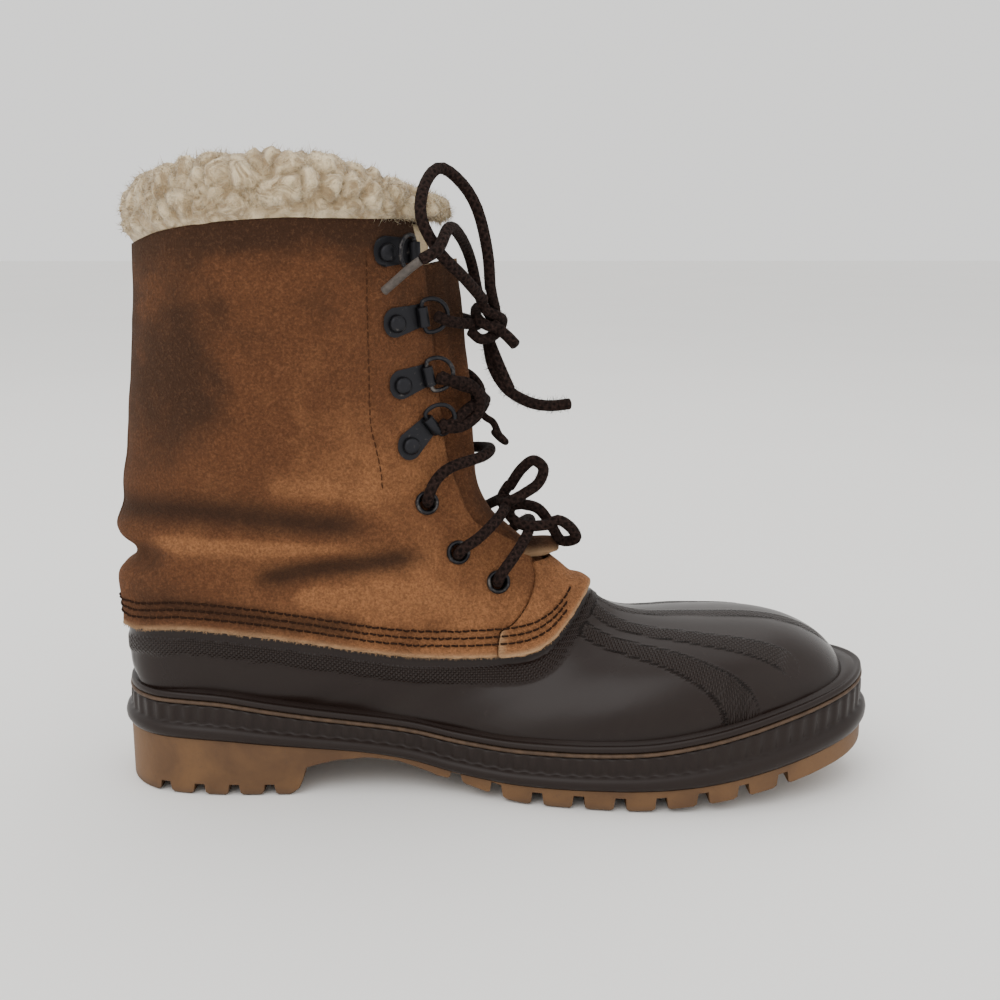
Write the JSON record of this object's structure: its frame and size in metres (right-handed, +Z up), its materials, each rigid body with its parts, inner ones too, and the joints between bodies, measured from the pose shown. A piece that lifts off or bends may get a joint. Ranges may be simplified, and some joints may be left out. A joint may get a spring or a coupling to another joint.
{
  "type": "pac boot",
  "caption": "Winter pac boot: moulded rubber shell on a lugged gum sole, laced suede shaft over a bellows tongue, felt liner with fleece cuff",
  "frame": {"origin": "on the floor, under the middle of the heel tread", "axes": "+X to the toe, +Z up, the inner (big toe) side at -Y"},
  "size_m": [0.3183, 0.1167, 0.2615],
  "materials": {
    "aglet": "worn grey",
    "black_metal": "worn black",
    "felt": "pressed felt",
    "fleece": "fleece pile",
    "gum": "matt gum rubber",
    "lace": "fuzzy round cord",
    "shell_rubber": "glossy dark brown rubber",
    "suede": "worn suede"
  },
  "bodies": {
    "boot": {"accent_stripe": "gum", "aglet_inner": "aglet", "clip_inner_1": "black_metal", "clip_inner_2": "black_metal", "clip_inner_3": "black_metal", "clip_inner_4": "black_metal", "clip_outer_1": "black_metal", "clip_outer_2": "black_metal", "clip_outer_3": "black_metal", "clip_outer_4": "black_metal", "eyelet_inner_1": "black_metal", "eyelet_inner_2": "black_metal", "eyelet_inner_3": "black_metal", "eyelet_outer_1": "black_metal", "eyelet_outer_2": "black_metal", "eyelet_outer_3": "black_metal", "fleece_cuff": "fleece", "lace_bar_eyelet_1": "lace", "lace_bar_eyelet_2": "lace", "lace_bar_eyelet_3": "lace", "lace_bar_ring_2": "lace", "lace_bar_ring_3": "lace", "lace_end_inner": "lace", "lace_end_knotted": "lace", "lace_end_long": "lace", "lace_end_tipped": "lace", "lace_knot": "lace", "lace_loop_low": "lace", "lace_loop_middle": "lace", "lace_loop_tall": "lace", "liner": "felt", "outsole": "gum", "ring_inner_2": "black_metal", "ring_inner_3": "black_metal", "ring_inner_4": "black_metal", "ring_outer_2": "black_metal", "ring_outer_3": "black_metal", "ring_outer_4": "black_metal", "rivet_inner_1": "black_metal", "rivet_inner_2": "black_metal", "rivet_inner_3": "black_metal", "rivet_inner_4": "black_metal", "rivet_outer_1": "black_metal", "rivet_outer_2": "black_metal", "rivet_outer_3": "black_metal", "rivet_outer_4": "black_metal", "shell": "shell_rubber", "sidewall": "shell_rubber", "tongue": "suede", "upper": "suede", "vamp": "suede"},
    "ring_inner_1": {"ring_inner_1": "black_metal"},
    "ring_outer_1": {"ring_outer_1": "black_metal"}
  },
  "joints": [
    {"name": "ring_inner_1_swing", "type": "hinge", "parent": "boot", "child": "ring_inner_1", "pos_m": [0.08453, -0.02472, 0.22098], "axis": [-0.006, -0.0039, 1], "range_deg": [0, 120]},
    {"name": "ring_outer_1_swing", "type": "hinge", "parent": "boot", "child": "ring_outer_1", "pos_m": [0.08461, 0.02437, 0.221], "axis": [0.0073, -0.0027, -1], "range_deg": [0, 120]}
  ]
}
